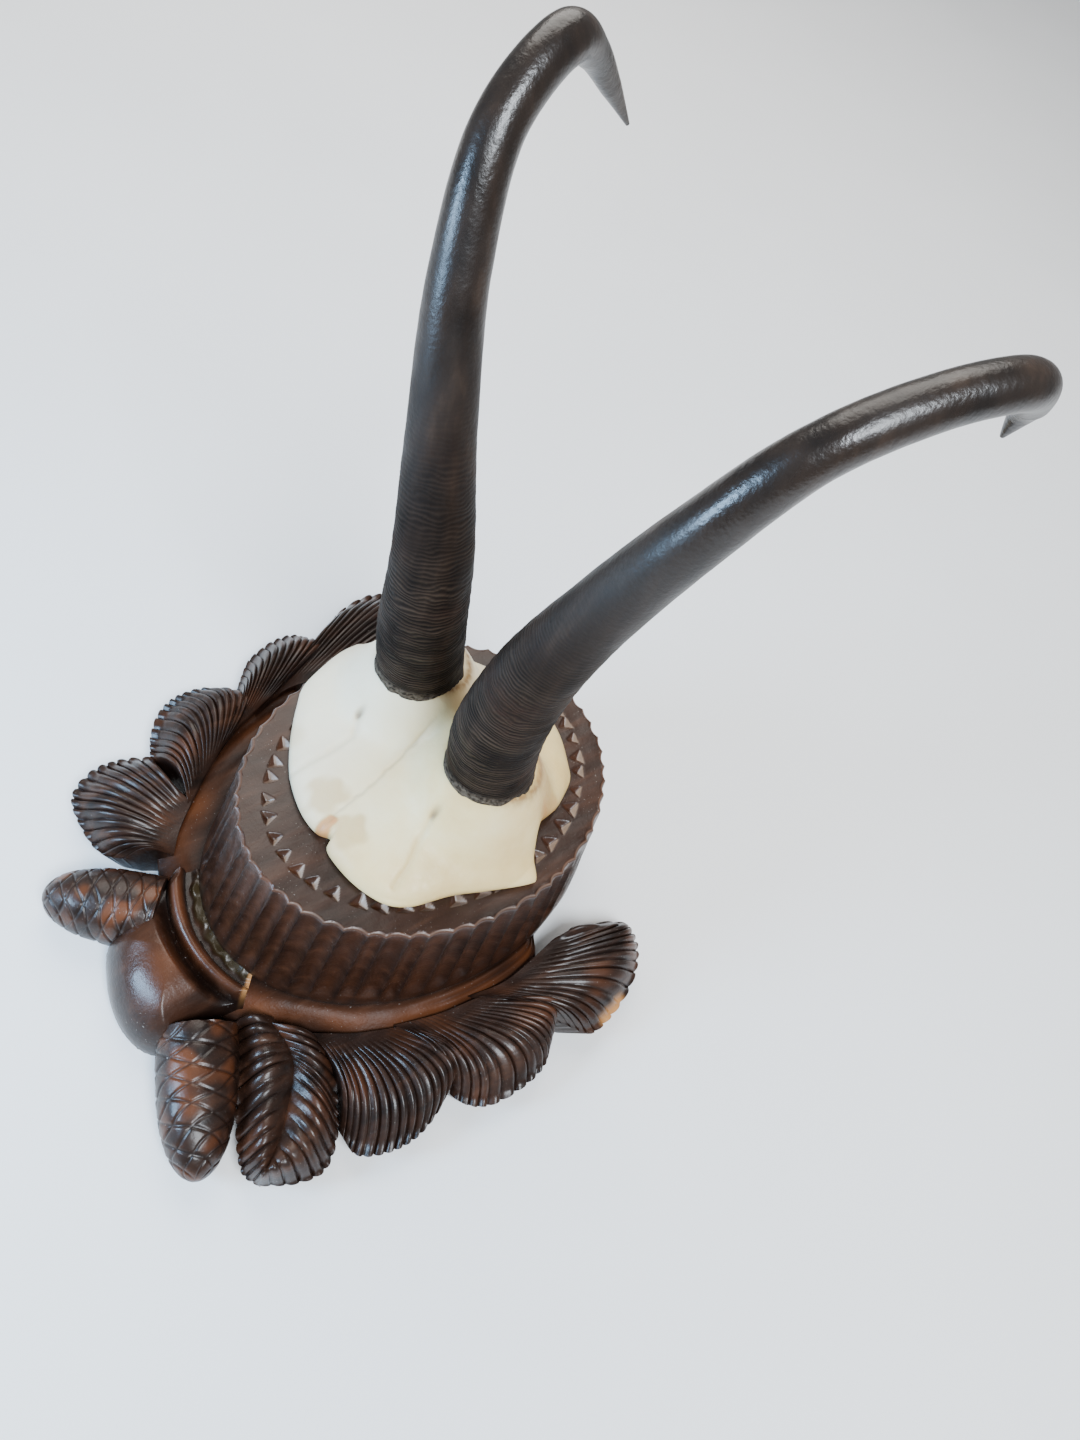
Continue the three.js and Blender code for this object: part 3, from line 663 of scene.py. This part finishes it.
def leaf_shell(shape, seed):
    ribs = shape["ribs"]
    s = np.linspace(0, 1, ribs * RIB_COLUMNS + 1)
    t = np.linspace(0, 1, LEAF_ROWS)
    root = curve(shape["root"], s)[:, None]
    edge = curve(shape["edge"], s)[:, None]
    reach = np.linalg.norm(edge - root, axis=2)[..., None]
    outward = (edge - root) / reach
    shift = 0.16 * np.sin(7 * s + seed) + 0.1 * np.sin(17 * s + 2 * seed)
    place = s * ribs + shift * np.sin(math.pi * s)
    rib = np.sqrt(np.clip(1 - (2 * (place % 1) - 1) ** 2, 0, 1))[:, None]
    bend = np.array(shape["bow"], float) * (4 * t * (1 - t))[None, :, None]
    bend = bend * (0.4 + 0.8 * s)[:, None, None] * np.minimum(reach / BOW_FULL_REACH, 1) ** 2

    def plan(shares, beyond):
        far = edge + outward * beyond[..., None]
        return root + (far - root) * shares[None, :, None] + bend

    flat = plan(t, RIB_REACH * (rib - 1))
    rise = np.sin(math.pi * np.minimum(t / 0.92, 1) ** 1.15) * (LEAF_CREST - LEAF_ROOT)
    grow = smoothstep(0.04, 0.4, t)
    uneven = 1 + 0.35 * np.sin(5 * place + seed)[:, None]
    z = (LEAF_ROOT + (LEAF_EDGE - LEAF_ROOT) * t**2 + rise)[None]
    z = z + RIB_HEIGHT * uneven * (rib - 0.65) * grow[None]
    top = np.concatenate([flat, z[..., None]], axis=-1)
    top[..., 2] += LEAF_ROUGHNESS * wobble(top, 7, seed)
    foot = plan(t * LEAF_UNDERCUT, RIB_REACH * (0 * rib - 1))
    foot = np.concatenate([foot, np.zeros(foot.shape[:2] + (1,))], axis=-1)
    # Painted shade in the rib grooves, at the outer edge and near the root
    hollow = (1 - smoothstep(0.1, 0.75, rib)) * grow[None] + 0.35 * smoothstep(0.88, 1.0, t)[None]
    hollow = hollow + 0.1 * (1 - smoothstep(0, 0.25, t))[None]
    warm = 0.6 * smoothstep(0.0, 0.6, wobble(top, 14, seed + 1)) * rib
    from_break = np.hypot(top[..., 0] - BROKEN_EDGE[0], top[..., 1] - BROKEN_EDGE[1])
    broken = np.exp(-((from_break / BROKEN_REACH) ** 2))
    broken = smoothstep(0.45, 0.8, broken) * smoothstep(0.8, 0.95, t)[None]
    values = {"hollow": np.clip(hollow, 0, 1), "warm": warm, "broken": broken}
    return patch_shell(top, foot, values)


def stem_shell(outer, seed):
    s = np.linspace(0, 1, STEM_ROWS)
    t = np.linspace(0, 1, STEM_COLUMNS)
    out = curve(outer, s)
    bearing = np.arctan2(out[:, 1] / FOOT_Y, out[:, 0] / FOOT_X)
    within_x = (FOOT_X - STEM_INSIDE) * np.cos(bearing)
    within_y = (FOOT_Y - STEM_INSIDE) * np.sin(bearing)
    within = np.stack([within_x, within_y], axis=-1)
    taper = (1 - 0.85 * smoothstep(STEM_TAPER_FROM, 1, s))[:, None, None]
    flat = within[:, None] + (out - within)[:, None] * t[None, :, None] * taper
    swell = 1 - np.clip((t - 0.3) / 0.7, 0, 1) ** 1.6
    lower = (1 - 0.8 * smoothstep(0.7, 1, s))[:, None]
    z = STEM_FLANK + (STEM_RIDGE - STEM_FLANK) * swell[None] * lower
    z = z * (1 - 0.6 * smoothstep(0.86, 1, s))[:, None]
    lined = smoothstep(0.3, 0.75, s)[:, None]
    z = z + STEM_LINE_DEPTH * np.sin(STEM_LINES * t)[None] * lined
    top = np.concatenate([flat, z[..., None]], axis=-1)
    top[..., 2] += 0.4 * wobble(top, 9, seed)
    foot = np.concatenate([flat, np.zeros(flat.shape[:2] + (1,))], axis=-1)
    # Painted shade at the outer edge and next to the drum
    hollow = 0.3 * smoothstep(0.85, 1.0, t)[None] + 0.6 * (1 - smoothstep(0.15, 0.25, t))[None]
    warm = np.exp(-(((t - 0.6) / 0.3) ** 2))[None] * (0.55 + 0.8 * wobble(top, 12, seed + 1))
    # Painted shade in the carved lines
    lines = 0.5 * smoothstep(0, -1, np.sin(STEM_LINES * t))[None] * lined
    values = {"hollow": hollow + lines, "warm": np.clip(warm, 0, 1), "dull": np.ones_like(warm)}
    return patch_shell(top, foot, values)


def spray_shells(stem, leaves, seed):
    made = [leaf_shell(shape, seed + 3 * k + 2) for k, shape in enumerate(leaves)]
    return [stem_shell(stem, seed)] + made


# Materials

# Colour ramps are lists of places and colours along a texture
WALNUT_GRAIN = [
    (0.3, (0.008, 0.0042, 0.003)),
    (0.55, (0.024, 0.011, 0.007)),
    (0.75, (0.054, 0.0235, 0.0132)),
]
WALNUT_WARM = (0.1, 0.03, 0.0095)
# Dark for painted shade
WALNUT_SHADE_DARK = (0.008, 0.004, 0.003)
WALNUT_BARE = (0.42, 0.2, 0.07)
# Light colour for painted highlights on the chip walls and for the lighter top edge line
WALNUT_WEAR_AND_GLINT = (0.36, 0.27, 0.21)
# Glue colour, partly painted shade of the gap at the drum
GLUE_AND_GAP_SHADE = (0.026, 0.018, 0.007)
DUST_COLOUR = (0.3, 0.27, 0.24)
BONE_CREAM = [(0.3, (0.72, 0.5, 0.2)), (0.5, (0.85, 0.66, 0.31)), (0.7, (0.9, 0.77, 0.45))]
# Tint for painted cool light on the left side
BONE_COOL_LIGHT = (0.86, 0.83, 0.69)
BONE_TAN = [(0, (0.5, 0.32, 0.1)), (1, (0.55, 0.2, 0.04))]
BONE_STAIN = (0.3, 0.16, 0.05)
# Dark for painted shade in holes and grooves and for the suture line
BONE_HOLE_SHADE = (0.16, 0.1, 0.05)
HORN_STREAKS = [
    (0.3, (0.0065, 0.0043, 0.0035)),
    (0.6, (0.017, 0.0105, 0.0075)),
    (0.8, (0.036, 0.022, 0.015)),
]
HORN_RED = (0.055, 0.022, 0.014)
HORN_RIDGE = (0.078, 0.053, 0.037)
# Near black for painted shade in the grooves
HORN_GROOVE_SHADE = (0.002, 0.0016, 0.0015)
HORN_FRAYED = (0.12, 0.098, 0.075)
PAPER_WHITE = [(0.3, (0.88, 0.88, 0.88)), (0.7, (0.92, 0.92, 0.92))]


def add(tree, kind, inputs, **settings):
    """One shader node; inputs are sockets to link or values to set"""
    made = tree.nodes.new(kind)
    for key, value in settings.items():
        setattr(made, key, value)
    for key, value in inputs.items():
        if isinstance(value, bpy.types.NodeSocket):
            tree.links.new(value, made.inputs[key])
        else:
            made.inputs[key].default_value = value
    return made


def new_material(name):
    material = bpy.data.materials.new(name)
    material.use_nodes = True
    tree = material.node_tree
    return material, tree, tree.nodes["Principled BSDF"]


def texture(tree, scale, detail, stretch=(1, 1, 1)):
    """Noise from 0 to 1, with the object's own coordinates stretched first"""
    place = add(tree, "ShaderNodeTexCoord", {})
    mapped = add(tree, "ShaderNodeMapping", {"Vector": place.outputs["Object"], "Scale": stretch})
    inputs = {"Vector": mapped.outputs["Vector"], "Scale": scale, "Detail": detail}
    return add(tree, "ShaderNodeTexNoise", inputs).outputs[0]


def ramp(tree, value, stops):
    """Colour from a list of places and colours"""
    made = add(tree, "ShaderNodeValToRGB", {"Fac": value})
    elements = made.color_ramp.elements
    while len(elements) < len(stops):
        elements.new(0.5)
    for element, (place, colour) in zip(elements, stops):
        element.position = place
        element.color = (*colour, 1)
    return made.outputs["Color"]


def level(tree, value, low, high, to_low=0.0, to_high=1.0):
    """Value carried from one range to another and held within it"""
    inputs = {"Value": value, "From Min": low, "From Max": high, "To Min": to_low, "To Max": to_high}
    return add(tree, "ShaderNodeMapRange", inputs, clamp=True).outputs["Result"]


def attribute(tree, name):
    """Value that a mesh keeps at its points, 0 where it has none"""
    return add(tree, "ShaderNodeAttribute", {}, attribute_name=name).outputs["Fac"]


def times(tree, a, b):
    return add(tree, "ShaderNodeMath", {0: a, 1: b}, operation="MULTIPLY").outputs["Value"]


def mix(tree, share, a, b):
    """Colour a where the share is 0 and b where it is 1"""
    made = add(tree, "ShaderNodeMix", {0: share}, data_type="RGBA")
    for index, colour in ((6, a), (7, b)):
        if isinstance(colour, bpy.types.NodeSocket):
            tree.links.new(colour, made.inputs[index])
        else:
            made.inputs[index].default_value = (*colour, 1)
    return made.outputs[2]


def bump(tree, shader, heights):
    """A chain of bumps from (height socket, strength, distance in metres)"""
    normal = None
    for height, strength, distance in heights:
        inputs = {"Height": height, "Strength": strength, "Distance": distance}
        if normal is not None:
            inputs["Normal"] = normal
        normal = add(tree, "ShaderNodeBump", inputs).outputs["Normal"]
    tree.links.new(normal, shader.inputs["Normal"])


def wood_material():
    material, tree, shader = new_material("walnut")
    grain = texture(tree, 260, 6, (1, 0.12, 1))
    cloud = texture(tree, 55, 4)
    specks = texture(tree, 1500, 2)
    chatter = texture(tree, 900, 4)
    colour = ramp(tree, grain, WALNUT_GRAIN)
    warm = times(tree, attribute(tree, "warm"), level(tree, cloud, 0.3, 0.6, 0.35, 1))
    colour = mix(tree, warm, colour, WALNUT_WARM)
    # Painted shade where the mask is high
    hollow = attribute(tree, "hollow")
    colour = mix(tree, level(tree, hollow, 0, 1, 0, 0.9), colour, WALNUT_SHADE_DARK)
    # Glue colour, partly painted shade of the gap at the drum
    glue = times(tree, attribute(tree, "glue"), level(tree, cloud, 0.35, 0.5))
    colour = mix(tree, glue, colour, GLUE_AND_GAP_SHADE)
    colour = mix(tree, attribute(tree, "broken"), colour, WALNUT_BARE)
    # Painted highlight on the chip walls, and the lighter top edge line
    colour = mix(tree, level(tree, attribute(tree, "worn"), 0, 1, 0, 0.8), colour, WALNUT_WEAR_AND_GLINT)
    dust = times(tree, level(tree, specks, 0.7, 0.76), level(tree, cloud, 0.4, 0.62, 0.05, 0.6))
    colour = mix(tree, dust, colour, DUST_COLOUR)
    tree.links.new(colour, shader.inputs["Base Color"])
    tree.links.new(level(tree, cloud, 0.25, 0.75, 0.27, 0.44), shader.inputs["Roughness"])
    dull = attribute(tree, "dull")
    tree.links.new(level(tree, dull, 0, 1, 0.3, 0.09), shader.inputs["Specular IOR Level"])
    tree.links.new(level(tree, dull, 0, 1, 0.1, 0.0), shader.inputs["Coat Weight"])
    shader.inputs["Coat Roughness"].default_value = 0.22
    bump(tree, shader, [(grain, 0.3, 0.0005), (chatter, 0.25, 0.0003), (specks, 0.12, 0.0003)])
    return material


def bone_material():
    material, tree, shader = new_material("bone")
    cloud = texture(tree, 45, 5)
    fine = texture(tree, 500, 6)
    colour = ramp(tree, cloud, BONE_CREAM)
    # Painted cool light on the left side
    colour = mix(tree, level(tree, attribute(tree, "cool"), 0, 1, 0, 0.75), colour, BONE_COOL_LIGHT)
    warm = times(tree, attribute(tree, "warm"), level(tree, cloud, 0.3, 0.65, 0.7, 1))
    tan = ramp(tree, level(tree, warm, 0.6, 1.6), BONE_TAN)
    colour = mix(tree, level(tree, warm, 0, 1.2, 0, 0.85), colour, tan)
    stain = times(tree, attribute(tree, "stain"), level(tree, fine, 0.3, 0.6, 0.5, 0.95))
    colour = mix(tree, stain, colour, BONE_STAIN)
    # Painted shade in holes and grooves, and the suture line
    colour = mix(tree, level(tree, attribute(tree, "hollow"), 0, 1, 0, 0.8), colour, BONE_HOLE_SHADE)
    tree.links.new(colour, shader.inputs["Base Color"])
    tree.links.new(level(tree, fine, 0.3, 0.7, 0.4, 0.62), shader.inputs["Roughness"])
    shader.inputs["Subsurface Weight"].default_value = 0.08
    shader.inputs["Subsurface Radius"].default_value = (0.004, 0.003, 0.002)
    bump(tree, shader, [(cloud, 0.3, 0.001), (fine, 0.35, 0.0004)])
    return material


def horn_material():
    material, tree, shader = new_material("horn")
    streak = texture(tree, 190, 6, (1, 1, 0.12))
    fine = texture(tree, 900, 5)
    cloud = texture(tree, 60, 4)
    colour = ramp(tree, streak, HORN_STREAKS)
    reddish = times(tree, attribute(tree, "warm"), level(tree, fine, 0.35, 0.65, 0.1, 0.55))
    colour = mix(tree, reddish, colour, HORN_RED)
    colour = mix(tree, level(tree, attribute(tree, "ridge"), 0, 1, 0, 0.75), colour, HORN_RIDGE)
    # Painted shade in the grooves
    colour = mix(tree, level(tree, attribute(tree, "hollow"), 0, 0.8, 0, 0.95), colour, HORN_GROOVE_SHADE)
    frayed = times(tree, attribute(tree, "frayed"), level(tree, fine, 0.4, 0.6, 0.1, 0.8))
    colour = mix(tree, frayed, colour, HORN_FRAYED)
    tree.links.new(colour, shader.inputs["Base Color"])
    polish = attribute(tree, "polish")
    uneven = level(tree, cloud, 0.3, 0.7, 0.8, 1.2)
    roughness = times(tree, uneven, level(tree, polish, 0, 1, 0.6, 0.3))
    tree.links.new(roughness, shader.inputs["Roughness"])
    tree.links.new(level(tree, polish, 0, 1, 0.06, 0.5), shader.inputs["Specular IOR Level"])
    bump(tree, shader, [(streak, 0.25, 0.0006), (fine, 0.3, 0.0004)])
    return material


def floor_material():
    material, tree, shader = new_material("studio_paper")
    cloud = texture(tree, 6, 3)
    tree.links.new(ramp(tree, cloud, PAPER_WHITE), shader.inputs["Base Color"])
    shader.inputs["Roughness"].default_value = 0.9
    return material


# Build the pieces

wood = wood_material()
bone = bone_material()
keratin = horn_material()

make_piece("drum_carved", [drum_shell()], wood, "fluted_drum")
make_piece("scroll_carved", [scroll_shell()], wood, "scroll")
for side, axis, seed in (("left", LEFT_CONE_AXIS, 31), ("right", RIGHT_CONE_AXIS, 35)):
    make_piece(f"{side}_cone_carved", [cone_shell(axis, seed)], wood, f"{side}_cone")
left_spray = spray_shells(LEFT_STEM_OUTER, LEFT_LEAVES, 41)
make_piece("left_spray_carved", left_spray, wood, "left_leaf_spray")
right_spray = spray_shells(RIGHT_STEM_OUTER, RIGHT_LEAVES, 71)
make_piece("right_spray_carved", right_spray, wood, "right_leaf_spray")
make_piece("skull_bone", [skull_shell()], bone, "skull_plate")
left_sheath = horn_shell(LEFT_HORN_PATH, LEFT_HORN_RADII, 101)
make_piece("left_horn_sheath", [left_sheath], keratin, "left_horn")
right_sheath = horn_shell(RIGHT_HORN_PATH, RIGHT_HORN_RADII, 111)
make_piece("right_horn_sheath", [right_sheath], keratin, "right_horn")

# Studio in metres: pale floor, soft light, camera where the photograph was taken from

FLOOR_HALF = 3.0
WORLD_STRENGTH = 0.36
CLIP_START = 0.01
floor_mesh = bpy.data.meshes.new("studio_floor")
corners = [(FLOOR_HALF * x, FLOOR_HALF * y, 0) for x, y in ((-1, -1), (1, -1), (1, 1), (-1, 1))]
floor_mesh.from_pydata(corners, [], [(0, 1, 2, 3)])
floor_mesh.materials.append(floor_material())
floor = bpy.data.objects.new("studio_floor", floor_mesh)
bpy.context.scene.collection.objects.link(floor)


def area_light(name, place, target, size, power, colour):
    light = bpy.data.lights.new(name, "AREA")
    light.shape = "DISK"
    light.size = size
    light.energy = power
    light.color = colour
    lamp = bpy.data.objects.new(name, light)
    lamp.location = place
    lamp.rotation_euler = (Vector(target) - Vector(place)).to_track_quat("-Z", "Y").to_euler()
    bpy.context.scene.collection.objects.link(lamp)


area_light("window", place=(0.62, -0.22, 1.1), target=(0, 0, 0.05),
           size=0.5, power=26, colour=(0.86, 0.93, 1.0))
area_light("low_window", place=(-0.15, -0.47, 0.27), target=(-0.03, 0, 0.2),
           size=0.2, power=5.0, colour=(0.42, 0.68, 1.0))
area_light("fill", place=(-0.6, 0.3, 0.9), target=(0, 0, 0.05),
           size=0.9, power=10, colour=(1.0, 0.96, 0.9))

world = bpy.data.worlds.new("studio_air")
world.use_nodes = True
background = world.node_tree.nodes["Background"]
background.inputs["Color"].default_value = (1, 1, 1, 1)
background.inputs["Strength"].default_value = WORLD_STRENGTH
bpy.context.scene.world = world

camera_data = bpy.data.cameras.new("camera")
camera_data.sensor_fit = "VERTICAL"
camera_data.sensor_height = CAMERA_SENSOR
camera_data.lens = CAMERA_LENS
camera_data.clip_start = CLIP_START
camera = bpy.data.objects.new("camera", camera_data)
right = Vector(CAMERA_RIGHT)
up = -Vector(CAMERA_DOWN)
back = -Vector(CAMERA_AHEAD)
turn = Matrix((right, up, back)).transposed().to_4x4()
camera.matrix_world = Matrix.Translation(Vector(CAMERA_PLACE) * MILLIMETRE) @ turn
bpy.context.scene.collection.objects.link(camera)
bpy.context.scene.camera = camera
